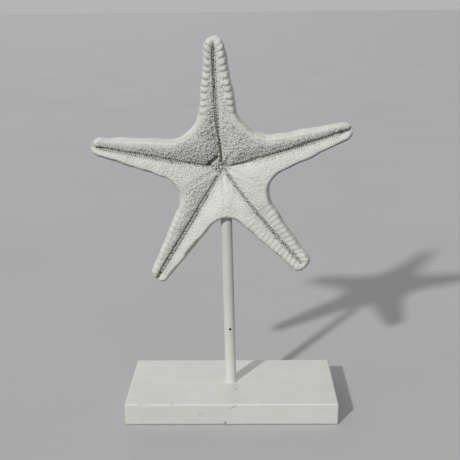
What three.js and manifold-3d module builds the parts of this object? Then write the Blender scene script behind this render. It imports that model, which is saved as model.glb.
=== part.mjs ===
// A dried starfish, painted white, held up on a slim rod that stands in a wooden base.
// Millimetres, +Z up. X runs to the right and Y away from someone who faces the star's underside.
// The origin is the middle of the base's underside.
import * as THREE from "three";
import { mergeVertices } from "three/addons/utils/BufferGeometryUtils.js";
import Module from "manifold-3d";

const wasm = await Module();
wasm.setup();
const { lerp, smoothstep, degToRad } = THREE.MathUtils;

// Base: a block cut from planed board
const BASE_WIDTH = 178;
const BASE_DEPTH = 89;
const BASE_HEIGHT = 19;
const BASE_CORNER = 2.2;
const BASE_EDGE = 1.4;
const BASE_EDGE_STEPS = 2;

// Rod: it leans a little to the left and ends inside the star
const ROD_DIAMETER = 9.5;
const ROD_SIDES = 32;
const ROD_FOOT_X = -1;
const ROD_LEAN = 0.9;
const ROD_SOCKET_DEPTH = 13;
const ROD_ABOVE_BASE = 164;
const PILOT_DIAMETER = 2.2;
const PILOT_DEPTH = 4;
const PILOT_HEIGHT = 50.5;
const PILOT_TURN = 8;

// Clearance left between two pieces that fit together
const FIT_GAP = 0.3;

// Star: its middle, and one row for each arm. The angle is counted from +X towards +Z, tip is the length
// of the rounded end, bow bends the arm sideways, lift brings its end forward, and shut is how far from
// the end its groove stops.
const STAR_CENTRE = new THREE.Vector3(-6.1, -3.5, 209.4);
const ARMS = [
  { angle: 17.1, length: 109.5, tip: 8, bow: -0.8, lift: 2, shut: 1 },
  { angle: 92.8, length: 105.1, tip: 8, bow: 0.8, lift: 1, shut: 5 },
  { angle: 169.4, length: 107.7, tip: 8, bow: -0.6, lift: -2, shut: 1 },
  { angle: 239.1, length: 110.5, tip: 6, bow: 0.5, lift: -1, shut: 1 },
  { angle: 309.3, length: 108.4, tip: 4.5, bow: -1.6, lift: 2, shut: 4 },
];
const ROOT_REACH = 48;
const ROOT_HALF_WIDTH = 15.3;
const TIP_HALF_WIDTH = 8;
const CROTCH_HANDLE = 12.5;
const MOUTH_RADIUS = 4.5;
const MOUTH_DEPTH = 2.5;
const GROOVE_HALF_WIDTH = 1.3;
const GROOVE_DEPTH = 1.6;

// Star heights, towards the viewer from the plane of its widest outline
const FLOOR_AT_MOUTH = -5;
const FLOOR_AT_ROOT = 3;
const FLOOR_AT_TIP = 2.2;
const CREST_AT_ROOT = 8;
const CREST_AT_TIP = 4.6;
const BACK_AT_MOUTH = 15;
const BACK_AT_ROOT = 11;
const BACK_AT_TIP = 4.5;
const RIM_AT_ROOT = 7;
const RIM_AT_TIP = 4.2;
const RIM_SHARE = 0.45;
const BACK_SQUARENESS = 3;

// Marginal plates: rounded blocks in a row along both edges of every arm
const TIP_PLATES = 2;
const EDGE_PLATES = 8;
const CROTCH_PLATES = 3;
const COLUMNS_PER_PLATE = 3;
const PLATE_FACE_RELIEF = 0.5;
const PLATE_EDGE_RELIEF = 0.3;
const DISC_PLATE_SHARE = 0.4;
const EDGE_FURROW = 0.6;
const KNOB_HEIGHT = 1.2;
const KNOB_HALF_WIDTH = 2;
const TIP_RIDGE_SHARE = 0.3;

// Steps of one rib: shares of the flank that rises from the groove, and angles round the rim and the back.
// The plates lie on the flank from PLATE_START outwards and on the back up to PLATE_END.
const FLANK_SHARES = [0.4, 0.7, 1];
const PLATE_START = 0.6;
const RIM_ANGLES = [35, 65].map(degToRad);
const BACK_ANGLES = [18, 48].map(degToRad);
const PLATE_END = degToRad(30);

const paint = (color, roughness) => new THREE.MeshStandardMaterial({ color, roughness, metalness: 0 });

function positionsOnly(geometry) {
  geometry.deleteAttribute("normal");
  geometry.deleteAttribute("uv");
  return mergeVertices(geometry, 1e-4);
}

function toSolid(geometry) {
  const merged = positionsOnly(geometry);
  return new wasm.Manifold(new wasm.Mesh({
    numProp: 3,
    vertProperties: new Float32Array(merged.attributes.position.array),
    triVerts: new Uint32Array(merged.index.array),
  }));
}

function cut(geometry, ...cutters) {
  const solid = cutters.reduce((left, cutter) => left.subtract(toSolid(cutter)), toSolid(geometry));
  const { vertProperties, triVerts } = solid.getMesh();
  const result = new THREE.BufferGeometry();
  result.setAttribute("position", new THREE.BufferAttribute(vertProperties, 3));
  result.setIndex(new THREE.BufferAttribute(triVerts, 1));
  result.computeVertexNormals();
  return result;
}

// A round bar along Z from one height to another
function bar(diameter, bottom, top, sides) {
  const geometry = new THREE.CylinderGeometry(diameter / 2, diameter / 2, top - bottom, sides);
  return geometry.rotateX(Math.PI / 2).translate(0, 0, (bottom + top) / 2);
}

// The rod's own frame: its foot on the base's top, turned to its lean
const upright = new THREE.Group();
upright.position.set(ROD_FOOT_X, 0, BASE_HEIGHT);
upright.rotation.y = -degToRad(ROD_LEAN);
upright.updateMatrix();

// The bore that the rod needs, in the object's frame
function rodBore() {
  const diameter = ROD_DIAMETER + 2 * FIT_GAP;
  return bar(diameter, -ROD_SOCKET_DEPTH, ROD_ABOVE_BASE + FIT_GAP, ROD_SIDES).applyMatrix4(upright.matrix);
}

function makeBase() {
  const x = BASE_WIDTH / 2;
  const y = BASE_DEPTH / 2;
  const r = BASE_CORNER;
  const outline = new THREE.Shape();
  outline.absarc(x - r, y - r, r, 0, Math.PI / 2);
  outline.absarc(r - x, y - r, r, Math.PI / 2, Math.PI);
  outline.absarc(r - x, r - y, r, Math.PI, Math.PI * 1.5);
  outline.absarc(x - r, r - y, r, Math.PI * 1.5, Math.PI * 2);
  const block = new THREE.ExtrudeGeometry(outline, {
    depth: BASE_HEIGHT - 2 * BASE_EDGE,
    steps: 1,
    curveSegments: 4,
    bevelSize: BASE_EDGE,
    bevelOffset: -BASE_EDGE,
    bevelThickness: BASE_EDGE,
    bevelSegments: BASE_EDGE_STEPS,
  });
  block.translate(0, 0, BASE_EDGE);
  const base = new THREE.Mesh(cut(block, rodBore()), paint(0xe6e6e0, 0.5));
  base.name = "base";
  return base;
}

function makeRod() {
  const stem = bar(ROD_DIAMETER, FIT_GAP - ROD_SOCKET_DEPTH, ROD_ABOVE_BASE, ROD_SIDES);
  const pilot = new THREE.CylinderGeometry(PILOT_DIAMETER / 2, PILOT_DIAMETER / 2, PILOT_DEPTH * 2, 12);
  pilot.translate(0, -ROD_DIAMETER / 2, 0).rotateZ(degToRad(PILOT_TURN)).translate(0, 0, PILOT_HEIGHT);
  const rod = new THREE.Mesh(cut(stem, pilot), paint(0xe2e2dc, 0.5));
  rod.name = "rod";
  return rod;
}

// A point of the star's plane, given by its reach along an arm and its place beside the arm's axis
function armPoint(arm, reach, beside) {
  const angle = degToRad(arm.angle);
  const sideways = beside + arm.bow * Math.sin(Math.PI * reach / arm.length);
  return new THREE.Vector2(
    reach * Math.cos(angle) - sideways * Math.sin(angle),
    reach * Math.sin(angle) + sideways * Math.cos(angle),
  );
}

function halfWidth(arm, reach) {
  const share = (reach - ROOT_REACH) / (arm.length - arm.tip - ROOT_REACH);
  return lerp(ROOT_HALF_WIDTH, TIP_HALF_WIDTH, share);
}

// The rounded outline of the crotch between two neighbouring arms, running on from their straight edges
function crotchCurve(arm, next) {
  const ends = [[arm, 1], [next, -1]].map(([one, side]) => {
    const edge = (reach) => armPoint(one, reach, side * halfWidth(one, reach));
    const start = edge(ROOT_REACH);
    const inward = edge(ROOT_REACH - 1).sub(start).normalize();
    return [start, start.clone().addScaledVector(inward, CROTCH_HANDLE)];
  });
  return new THREE.CubicBezierCurve(ends[0][0], ends[0][1], ends[1][1], ends[1][0]);
}

// Half of one sector, from the arm's tip along its edge to the middle of the crotch. Each column pairs
// a point of the outline with the points of the front's groove and of the back's ridge that face it.
// Fullness falls to 0 where the front slopes down at the end of the arm.
function halfSector(arm, side, crotchEdge, middleAngle) {
  const columns = [];
  const add = (edge, reach, groove, ridge, fullness = 1) => {
    const onPlate = columns.length % COLUMNS_PER_PLATE !== 0;
    columns.push({ arm, edge, reach, groove, ridge, fullness, onPlate });
  };
  const onAxis = (reach) => armPoint(arm, reach, 0);
  const tipStart = arm.length - arm.tip;
  const tipSteps = TIP_PLATES * COLUMNS_PER_PLATE;
  for (let step = 0; step < tipSteps; step += 1) {
    const share = step / tipSteps;
    const turn = share * Math.PI / 2;
    const beside = side * TIP_HALF_WIDTH * Math.sin(turn);
    const edge = armPoint(arm, tipStart + arm.tip * Math.cos(turn), beside);
    const reach = lerp(arm.length, tipStart, share) - arm.shut;
    const ridge = onAxis(tipStart + arm.tip * TIP_RIDGE_SHARE * (1 - share));
    add(edge, reach, onAxis(reach), ridge, Math.sin(turn));
  }
  const edgeSteps = EDGE_PLATES * COLUMNS_PER_PLATE;
  for (let step = 0; step < edgeSteps; step += 1) {
    const edgeReach = lerp(tipStart, ROOT_REACH, step / edgeSteps);
    const reach = lerp(tipStart - arm.shut, ROOT_REACH, step / edgeSteps);
    const edge = armPoint(arm, edgeReach, side * halfWidth(arm, edgeReach));
    add(edge, reach, onAxis(reach), onAxis(edgeReach));
  }
  const crotchSteps = CROTCH_PLATES * COLUMNS_PER_PLATE;
  for (let step = 0; step < crotchSteps; step += 1) {
    const reach = lerp(ROOT_REACH, MOUTH_RADIUS, step / (crotchSteps - 1));
    add(crotchEdge(0.5 * step / crotchSteps), reach, onAxis(reach), onAxis(reach));
  }
  const mouthEdge = new THREE.Vector2(Math.cos(middleAngle), Math.sin(middleAngle));
  mouthEdge.multiplyScalar(MOUTH_RADIUS);
  add(crotchEdge(0.5), MOUTH_RADIUS, mouthEdge, mouthEdge);
  return columns;
}

// All columns once round the star
function starColumns() {
  return ARMS.flatMap((arm, index) => {
    const next = ARMS[(index + 1) % ARMS.length];
    const turn = (next.angle - arm.angle + 360) % 360;
    const middleAngle = degToRad(arm.angle + turn / 2);
    const crotch = crotchCurve(arm, next);
    const first = halfSector(arm, 1, (share) => crotch.getPoint(share), middleAngle);
    const second = halfSector(next, -1, (share) => crotch.getPoint(1 - share), middleAngle);
    return [...first, ...second.slice(0, -1).reverse()];
  });
}

// One rib of the star's skin: up the flank of the groove, over the marginal plates and round the back
function ribPoints({ arm, edge, reach, groove, ridge, fullness, onPlate }) {
  const towardsRoot = smoothstep(reach, MOUTH_RADIUS, ROOT_REACH);
  const towardsTip = THREE.MathUtils.clamp((reach - ROOT_REACH) / (arm.length - ROOT_REACH), 0, 1);
  const alongArm = (mouth, root, tip) => lerp(lerp(mouth, root, towardsRoot), tip, towardsTip);
  const floor = alongArm(FLOOR_AT_MOUTH, FLOOR_AT_ROOT, FLOOR_AT_TIP);
  const crest = lerp(floor, alongArm(CREST_AT_ROOT, CREST_AT_ROOT, CREST_AT_TIP), fullness);
  const back = alongArm(BACK_AT_MOUTH, BACK_AT_ROOT, BACK_AT_TIP);
  const frontSpan = edge.distanceTo(groove);
  const backSpan = edge.distanceTo(ridge);
  const rim = Math.min(alongArm(RIM_AT_ROOT, RIM_AT_ROOT, RIM_AT_TIP), frontSpan * RIM_SHARE);
  const flank = frontSpan - rim;
  const relief = (onPlate ? fullness : -1) * lerp(DISC_PLATE_SHARE, 1, towardsRoot);
  const faceRelief = relief * PLATE_FACE_RELIEF;
  const edgeRelief = relief * PLATE_EDGE_RELIEF;
  const lift = arm.lift * (reach / arm.length) ** 2;

  const points = [];
  const place = (from, across, height) => {
    const spot = edge.clone().sub(from).setLength(across).add(from);
    points.push(new THREE.Vector3(spot.x, -height - lift, spot.y));
  };
  place(groove, 0, floor - GROOVE_DEPTH);
  place(groove, Math.min(GROOVE_HALF_WIDTH, flank * FLANK_SHARES[0] / 2), floor);
  for (const share of FLANK_SHARES) {
    const plate = share > PLATE_START ? faceRelief : 0;
    place(groove, flank * share, floor + (crest - floor) * Math.sin(share * Math.PI / 2) + plate);
  }
  for (const angle of RIM_ANGLES) {
    place(groove, flank + (rim + edgeRelief) * Math.sin(angle), (crest + faceRelief) * Math.cos(angle));
  }
  place(ridge, backSpan - EDGE_FURROW, 0);
  const power = 2 / BACK_SQUARENESS;
  for (const angle of BACK_ANGLES) {
    const plate = angle < PLATE_END ? edgeRelief : 0;
    place(ridge, (backSpan + plate) * Math.cos(angle) ** power, -back * Math.sin(angle) ** power);
  }
  place(ridge, KNOB_HALF_WIDTH, -back);
  place(ridge, 0, -back - (onPlate ? KNOB_HEIGHT * fullness : 0));
  return points;
}

// The star's closed skin: ribs side by side, with the mouth and the middle of the back as two fans
function starGeometry() {
  const columns = starColumns();
  const ribs = columns.map(ribPoints);
  const rings = ribs[0].length;
  const vertices = ribs.flat();
  const mouth = vertices.push(new THREE.Vector3(0, GROOVE_DEPTH + MOUTH_DEPTH - FLOOR_AT_MOUTH, 0)) - 1;
  const backMiddle = vertices.push(new THREE.Vector3(0, BACK_AT_MOUTH + KNOB_HEIGHT, 0)) - 1;
  const triangles = [];
  columns.forEach((column, index) => {
    const nextIndex = (index + 1) % columns.length;
    const here = index * rings;
    const beside = nextIndex * rings;
    for (let ring = 0; ring < rings - 1; ring += 1) {
      triangles.push(here + ring, here + ring + 1, beside + ring);
      triangles.push(beside + ring, here + ring + 1, beside + ring + 1);
    }
    if (column.reach === MOUTH_RADIUS && columns[nextIndex].reach === MOUTH_RADIUS) {
      triangles.push(mouth, here, beside);
      triangles.push(backMiddle, beside + rings - 1, here + rings - 1);
    }
  });
  const geometry = new THREE.BufferGeometry().setFromPoints(vertices);
  geometry.setIndex(triangles);
  return geometry;
}

function makeStarfish() {
  const bore = rodBore().translate(-STAR_CENTRE.x, -STAR_CENTRE.y, -STAR_CENTRE.z);
  const starfish = new THREE.Mesh(cut(starGeometry(), bore), paint(0xe9e9e2, 0.85));
  starfish.name = "starfish";
  starfish.position.copy(STAR_CENTRE);
  return starfish;
}

upright.add(makeRod());
const ornament = new THREE.Group();
ornament.add(makeBase(), upright, makeStarfish());

export default ornament;
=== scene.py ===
import math

import bmesh
import bpy
import numpy as np
from mathutils import Matrix, Vector
from mathutils.bvhtree import BVHTree
from mathutils.geometry import delaunay_2d_cdt
from mathutils.kdtree import KDTree


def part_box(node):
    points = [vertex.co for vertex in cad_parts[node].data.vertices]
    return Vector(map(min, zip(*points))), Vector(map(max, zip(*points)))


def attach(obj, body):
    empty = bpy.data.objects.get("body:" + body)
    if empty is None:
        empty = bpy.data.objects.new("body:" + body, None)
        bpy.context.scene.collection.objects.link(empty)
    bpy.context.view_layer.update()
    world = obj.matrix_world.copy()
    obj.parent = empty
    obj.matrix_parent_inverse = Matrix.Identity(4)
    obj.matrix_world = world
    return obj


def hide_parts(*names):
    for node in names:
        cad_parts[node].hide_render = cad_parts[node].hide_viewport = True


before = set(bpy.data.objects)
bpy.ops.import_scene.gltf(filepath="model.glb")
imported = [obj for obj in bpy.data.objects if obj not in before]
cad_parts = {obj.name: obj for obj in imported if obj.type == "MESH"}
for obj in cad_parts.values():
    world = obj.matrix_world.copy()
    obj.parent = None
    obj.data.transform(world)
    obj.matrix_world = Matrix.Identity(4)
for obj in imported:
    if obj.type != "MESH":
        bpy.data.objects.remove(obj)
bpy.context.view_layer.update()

# Base: a block sawn from planed board, its edges eased with sandpaper and brushed with satin white paint.
# Handling has left a long dent and a pit on the upper front edge, a scuff below it and a nick at the foot.
MM = 0.001
BASE_LOW, BASE_HIGH = (np.array(corner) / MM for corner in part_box("base"))
BASE_FRONT = BASE_LOW[1]
BASE_TOP = BASE_HIGH[2]
BASE_EDGE = 1.5
BASE_STEP = 3.0
BASE_FINE_STEP = 0.45
WELD = 0.001
# Where the paint's noises start and end for its patches of tone and for its grain, the size of the patches in
# its dirt and painted shade, and how much of that darkening they leave
PATCH_RANGE = (0.35, 0.65)
GRAIN_RANGE = (0.3, 0.7)
DARKENING_PATCH = 1.4
DARKENING_LEFT = (0.55, 1.15)
# Each mark: one end, the other end, half its width, its depth and how dirty it is
BASE_MARKS = (
    ((-74.5, BASE_FRONT, BASE_TOP), (-68.0, BASE_FRONT, BASE_TOP), 2.4, 1.1, 0.2),
    ((-49.6, BASE_FRONT + 0.4, BASE_TOP), (-49.2, BASE_FRONT + 0.2, BASE_TOP), 1.2, 0.7, 0.7),
    ((-1.5, BASE_FRONT, 14.4), (4.0, BASE_FRONT, 17.4), 0.9, 0.25, 0.4),
    ((-5.6, BASE_FRONT, 0.4), (-4.6, BASE_FRONT, 2.2), 1.1, 0.8, 0.8),
    ((3.0, -16.6, BASE_TOP), (4.4, -15.8, BASE_TOP), 1.3, 0.08, 0.5),
    ((-27.0, BASE_FRONT, 9.5), (-24.0, BASE_FRONT, 10.5), 1.6, 0.05, 0.2),
)


def grid_lines(low, high, places):
    """Positions from low to high: close together near the given places and near both ends, wide elsewhere."""
    lines = [low]
    while lines[-1] < high - BASE_FINE_STEP:
        near = min(abs(lines[-1] - place) for place in (low, high, *places))
        lines.append(lines[-1] + (BASE_FINE_STEP if near < 2 * BASE_STEP else BASE_STEP))
    lines[-1] = high
    return np.array(lines)


def away_from(points, start, end):
    """How far each point is from a straight line between two ends."""
    along = np.subtract(end, start)
    share = np.clip((points - start) @ along / (along @ along), 0, 1)
    return np.linalg.norm(points - start - share[..., None] * along, axis=-1)


def marks_on(points, marks):
    """Depth and darkening at each point from a list of dents, scratches and nicks: dirt on the base, painted
    shade in the star's mouth hole, crack and split ends.
    """
    depth = np.zeros(points.shape[:-1])
    dirt_and_painted_shade = np.zeros(points.shape[:-1])
    for start, end, radius, deep, darkening in marks:
        hollow = np.clip(1 - (away_from(points, start, end) / radius) ** 2, 0, 1)
        depth += deep * hollow ** 2
        dirt_and_painted_shade = np.maximum(dirt_and_painted_shade, darkening * hollow)
    return depth, dirt_and_painted_shade


def quads_of(index):
    """The four-sided faces of a grid of point numbers."""
    corners = (index[:-1, :-1], index[1:, :-1], index[1:, 1:], index[:-1, 1:])
    return np.stack(corners, -1).reshape(-1, 4).tolist()


def rounded_block(low, high, edge, marks):
    """Points, faces and dirt of a block with round edges and the given marks pressed into it."""
    spots = np.array([[start, end] for start, end, *rest in marks]).reshape(-1, 3)
    lines = [grid_lines(low[axis], high[axis], spots[:, axis]) for axis in range(3)]
    points, faces, count = [], [], 0
    for axis in range(3):
        first, second = (axis + 1) % 3, (axis + 2) % 3
        u, v = np.meshgrid(lines[first], lines[second], indexing="ij")
        for level in (low[axis], high[axis]):
            side = np.empty(u.shape + (3,))
            side[..., axis] = level
            side[..., first] = u
            side[..., second] = v
            points.append(side.reshape(-1, 3))
            faces += quads_of(count + np.arange(u.size).reshape(u.shape))
            count += u.size
    points = np.concatenate(points)
    core = np.clip(points, low + edge, high - edge)
    outwards = points - core
    outwards /= np.linalg.norm(outwards, axis=1)[:, None]
    rounded = core + outwards * edge
    depth, dirt_and_painted_shade = marks_on(rounded, marks)
    return rounded - outwards * depth[:, None], faces, dirt_and_painted_shade


def mesh_piece(name, points, faces, material, dirt_and_painted_shade):
    """A smooth closed mesh object from points in millimetres, with its dirt and painted shade kept on the
    points.
    """
    mesh = bpy.data.meshes.new(name)
    mesh.from_pydata((np.asarray(points) * MM).tolist(), [], faces)
    mesh.attributes.new("dirt_and_painted_shade", "FLOAT", "POINT").data.foreach_set("value", np.asarray(dirt_and_painted_shade, np.float32))
    skin = bmesh.new()
    skin.from_mesh(mesh)
    bmesh.ops.remove_doubles(skin, verts=skin.verts, dist=WELD * MM)
    bmesh.ops.recalc_face_normals(skin, faces=skin.faces)
    skin.to_mesh(mesh)
    skin.free()
    mesh.shade_smooth()
    mesh.materials.append(material)
    piece = bpy.data.objects.new(name, mesh)
    bpy.context.scene.collection.objects.link(piece)
    return piece


def add_node(tree, kind, links, **values):
    """A shader node with some inputs linked and others set, both by the input's name."""
    node = tree.nodes.new(kind)
    for name, output in links.items():
        tree.links.new(output, node.inputs[name])
    for name, value in values.items():
        node.inputs[name].default_value = value
    return node


def noise(tree, place, size, detail):
    """Noise whose lumps are about that many millimetres across."""
    node = add_node(tree, "ShaderNodeTexNoise", {"Vector": place}, Scale=1 / (size * MM), Detail=detail)
    return node.outputs["Fac"]


def ranged(tree, value, low, high, start, end):
    """The value from low to high, stretched to run from start to end."""
    node = add_node(tree, "ShaderNodeMapRange", {"Value": value})
    for name, limit in (("From Min", low), ("From Max", high), ("To Min", start), ("To Max", end)):
        node.inputs[name].default_value = limit
    return node.outputs["Result"]


def ramp(tree, share, start, end):
    """A colour that goes from start to end as the share goes from 0 to 1."""
    node = add_node(tree, "ShaderNodeValToRGB", {"Fac": share})
    node.color_ramp.elements[0].color = (*start, 1)
    node.color_ramp.elements[1].color = (*end, 1)
    return node.outputs["Color"]


def darkened(tree, share, colour, dirt_and_painted_shade):
    """A linked colour that turns into the colour of dirt and painted shade as the share goes from 0 to 1."""
    node = tree.nodes.new("ShaderNodeMix")
    node.data_type = "RGBA"
    inputs = {socket.identifier: socket for socket in node.inputs}
    tree.links.new(share, inputs["Factor_Float"])
    tree.links.new(colour, inputs["A_Color"])
    inputs["B_Color"].default_value = (*dirt_and_painted_shade, 1)
    return next(socket for socket in node.outputs if socket.identifier == "Result_Color")


def white_paint(name, white, shade, dirt_and_painted_shade, patch, grain, stretch, relief, smoothest, roughest, gloss):
    """White paint whose tone wanders in patches, with a fine grain that can be stretched into brush strokes.
    It is darkened where the piece's own dirt and painted shade say so. Patch, grain and relief are in
    millimetres."""
    material = bpy.data.materials.new(name)
    material.use_nodes = True
    tree = material.node_tree
    shader = tree.nodes["Principled BSDF"]
    shader.inputs["Specular IOR Level"].default_value = gloss
    place = add_node(tree, "ShaderNodeTexCoord", {}).outputs["Object"]
    patches = noise(tree, place, patch, detail=4)
    tone = ramp(tree, ranged(tree, patches, *PATCH_RANGE, 0, 1), shade, white)
    darkening_node = tree.nodes.new("ShaderNodeAttribute")
    darkening_node.attribute_name = "dirt_and_painted_shade"
    uneven = ranged(tree, noise(tree, place, DARKENING_PATCH, detail=2), *GRAIN_RANGE, *DARKENING_LEFT)
    share = add_node(tree, "ShaderNodeMath", {0: darkening_node.outputs["Fac"], 1: uneven})
    share.operation = "MULTIPLY"
    share.use_clamp = True
    tree.links.new(darkened(tree, share.outputs["Value"], tone, dirt_and_painted_shade), shader.inputs["Base Color"])
    strokes = add_node(tree, "ShaderNodeMapping", {"Vector": place}, Scale=stretch).outputs["Vector"]
    fine = noise(tree, strokes, grain, detail=5)
    tree.links.new(ranged(tree, fine, *GRAIN_RANGE, smoothest, roughest), shader.inputs["Roughness"])
    bump = add_node(tree, "ShaderNodeBump", {"Height": fine}, Strength=1, Distance=relief * MM)
    tree.links.new(bump.outputs["Normal"], shader.inputs["Normal"])
    return material


base_paint = white_paint(
    "base_paint", white=(0.85, 0.85, 0.805), shade=(0.81, 0.81, 0.765), dirt_and_painted_shade=(0.2, 0.18, 0.15), patch=22,
    grain=1.1, stretch=(0.05, 1, 1), relief=0.05, smoothest=0.4, roughest=0.55, gloss=0.4)
points, faces, dirt_and_painted_shade = rounded_block(BASE_LOW, BASE_HIGH, BASE_EDGE, BASE_MARKS)
base_block = mesh_piece("base_block", points, faces, base_paint, dirt_and_painted_shade)
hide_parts("base")
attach(base_block, "root")

# Rod: a wooden dowel painted like the base, glued into a hole in the base and up into the star's crotch.
# It leans a little to the left. A small hole was left open in its front, with lumps of paint below it.
ROD_RADIUS = 4.75
ROD_SIDES = 72
ROD_FOOT = (-1.0, 0.0, BASE_TOP)
ROD_LEAN = math.radians(0.9)
ROD_SUNK = 0.4
ROD_LENGTH = 163.0
ROD_RINGS = 260
ROD_WAVE = 0.04
ROD_WAVE_LENGTHS = (9.0, 4.3)
FOOT_FILLET = 0.7
HOLE_RADIUS = 1.1
HOLE_SIDES = 24
HOLE_EDGE = math.radians(50)
HOLE_DEPTH = 4.0
HOLE_HEIGHT = 50.5
HOLE_TURN = math.radians(8)
# Lumps in the paint below the hole: height under it, turn round the rod, radius and thickness
PAINT_LUMPS = ((2.6, -6, 0.9, 0.16), (4.0, 14, 0.8, 0.13), (5.2, 2, 1.0, 0.15), (7.4, -12, 0.9, 0.1))

rod_place = Matrix.Translation(Vector(ROD_FOOT)) @ Matrix.Rotation(-ROD_LEAN, 4, "Y")


def rod_skin():
    """The rod's points in its own upright frame and its faces, with paint gathered at the foot."""
    up = np.linspace(-ROD_SUNK, ROD_LENGTH, ROD_RINGS)[:, None]
    turn = np.linspace(0, 2 * np.pi, ROD_SIDES, endpoint=False)[None, :]
    radius = ROD_RADIUS + FOOT_FILLET * np.exp(-np.maximum(up, 0) / FOOT_FILLET)
    slow, quick = (up / length for length in ROD_WAVE_LENGTHS)
    radius = radius + ROD_WAVE * np.sin(slow + np.sin(turn)) * np.sin(quick + 2 * turn)
    for below, degrees, size, thickness in PAINT_LUMPS:
        beside = ROD_RADIUS * np.sin(turn + np.pi / 2 - math.radians(degrees))
        away = np.hypot(up - HOLE_HEIGHT + below, beside)
        facing = np.sin(turn) < 0
        radius = radius + facing * thickness * np.exp(-(away / size) ** 2)
    up = up + 0 * turn
    points = np.stack([radius * np.cos(turn), radius * np.sin(turn), up], -1).reshape(-1, 3)
    index = np.arange(len(points)).reshape(ROD_RINGS, ROD_SIDES)
    around = np.concatenate([index, index[:, :1]], axis=1)
    ends = [index[0, ::-1].tolist(), index[-1].tolist()]
    return points, quads_of(around) + ends


def bored(piece, tool):
    """The piece with the tool's shape cut out of it, the cut faces taking the tool's material."""
    cut = piece.modifiers.new("bore", "BOOLEAN")
    cut.operation = "DIFFERENCE"
    cut.solver = "EXACT"
    cut.material_mode = "TRANSFER"
    cut.object = tool
    seen = piece.evaluated_get(bpy.context.evaluated_depsgraph_get())
    piece.data = bpy.data.meshes.new_from_object(seen)
    piece.modifiers.clear()
    bpy.data.objects.remove(tool)
    piece.data.set_sharp_from_angle(angle=HOLE_EDGE)


rod_paint = white_paint(
    "rod_paint", white=(0.77, 0.765, 0.725), shade=(0.72, 0.715, 0.675), dirt_and_painted_shade=(0.2, 0.18, 0.15), patch=16,
    grain=0.9, stretch=(1, 1, 0.06), relief=0.04, smoothest=0.42, roughest=0.56, gloss=0.4)
# The hole's walls are painted near black: painted shade standing in for the dark inside of the deep hole.
hole_painted_shade = white_paint(
    "hole_painted_shade", white=(0.03, 0.025, 0.02), shade=(0.02, 0.017, 0.014), dirt_and_painted_shade=(0.01, 0.01, 0.01), patch=1,
    grain=0.4, stretch=(1, 1, 1), relief=0.05, smoothest=0.8, roughest=0.95, gloss=0.1)
points, faces = rod_skin()
rod = mesh_piece("rod_dowel", points, faces, rod_paint, np.zeros(len(points)))
drill = bmesh.new()
hole_place = Matrix.Rotation(HOLE_TURN, 4, "Z") @ Matrix.Translation((0, -ROD_RADIUS * MM, HOLE_HEIGHT * MM))
bmesh.ops.create_cone(
    drill, cap_ends=True, segments=HOLE_SIDES, radius1=HOLE_RADIUS * MM, radius2=HOLE_RADIUS * MM,
    depth=2 * HOLE_DEPTH * MM, matrix=hole_place @ Matrix.Rotation(math.pi / 2, 4, "X"))
drill_mesh = bpy.data.meshes.new("drill")
drill.to_mesh(drill_mesh)
drill.free()
drill_mesh.materials.append(hole_painted_shade)
drill_tool = bpy.data.objects.new("drill", drill_mesh)
bpy.context.scene.collection.objects.link(drill_tool)
bored(rod, drill_tool)
rod_place.translation *= MM
rod.data.transform(rod_place)
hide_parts("rod")
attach(rod, "root")

# Starfish: a dried sea star with its underside to the front, sprayed with chalky matte white paint.
# It grew in one piece: five grooved arms round a sunken mouth, blocky plates along the edges, a knobbly back.
STAR_CENTRE = np.array((-6.1, -3.5, 209.4))
# One row for each arm: its angle from +X towards +Z, its length, the length of its rounded end, its bow
# sideways, how far its end comes forward; its groove's shift off the axis, depth, half width near the mouth
# and further out, distance from the arm's end, and the place, radius and height of the spines in it; the
# heights of the plates along its two edges, how sharp their joints are, the painted shade darkening the
# joints, their pitch and their width
ARMS = (
    dict(angle=17.1, length=109.5, tip=8.0, bow=-0.8, lift=2.0,
         shift=0.5, deep=2.0, gape=1.25, wide=2.1, shut=5.0, inner=0.36, spine=(0.9, 1.0),
         plates=(0.3, 0.12), sharp=2.4, joint_painted_shade=0.2, pitch=5.4, width=6.0),
    dict(angle=92.8, length=106.0, tip=8.0, bow=0.8, lift=1.0,
         shift=0.9, deep=1.9, gape=1.3, wide=2.2, shut=5.0, inner=0.36, spine=(0.9, 1.0),
         plates=(1.3, 1.2), sharp=3.4, joint_painted_shade=0.7, pitch=5.6, width=6.8),
    dict(angle=169.4, length=108.6, tip=10.0, bow=-0.6, lift=-2.0,
         shift=0.5, deep=1.8, gape=1.25, wide=2.1, shut=6.0, inner=0.36, spine=(0.9, 1.0),
         plates=(0.2, 0.25), sharp=2.4, joint_painted_shade=0.2, pitch=5.4, width=6.0),
    dict(angle=239.1, length=110.5, tip=6.0, bow=0.5, lift=-1.0,
         shift=-0.6, deep=1.0, gape=2.3, wide=2.5, shut=1.0, inner=0.0, spine=(1.1, 1.9),
         plates=(0.12, 0.75), sharp=2.0, joint_painted_shade=0.25, pitch=5.0, width=6.0),
    dict(angle=309.3, length=108.4, tip=4.5, bow=-1.6, lift=2.0,
         shift=0.4, deep=1.0, gape=1.6, wide=1.5, shut=4.0, inner=0.36, spine=(0.9, 1.0),
         plates=(0.5, 0.45), sharp=2.0, joint_painted_shade=0.05, pitch=4.6, width=9.0),
)
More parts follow.
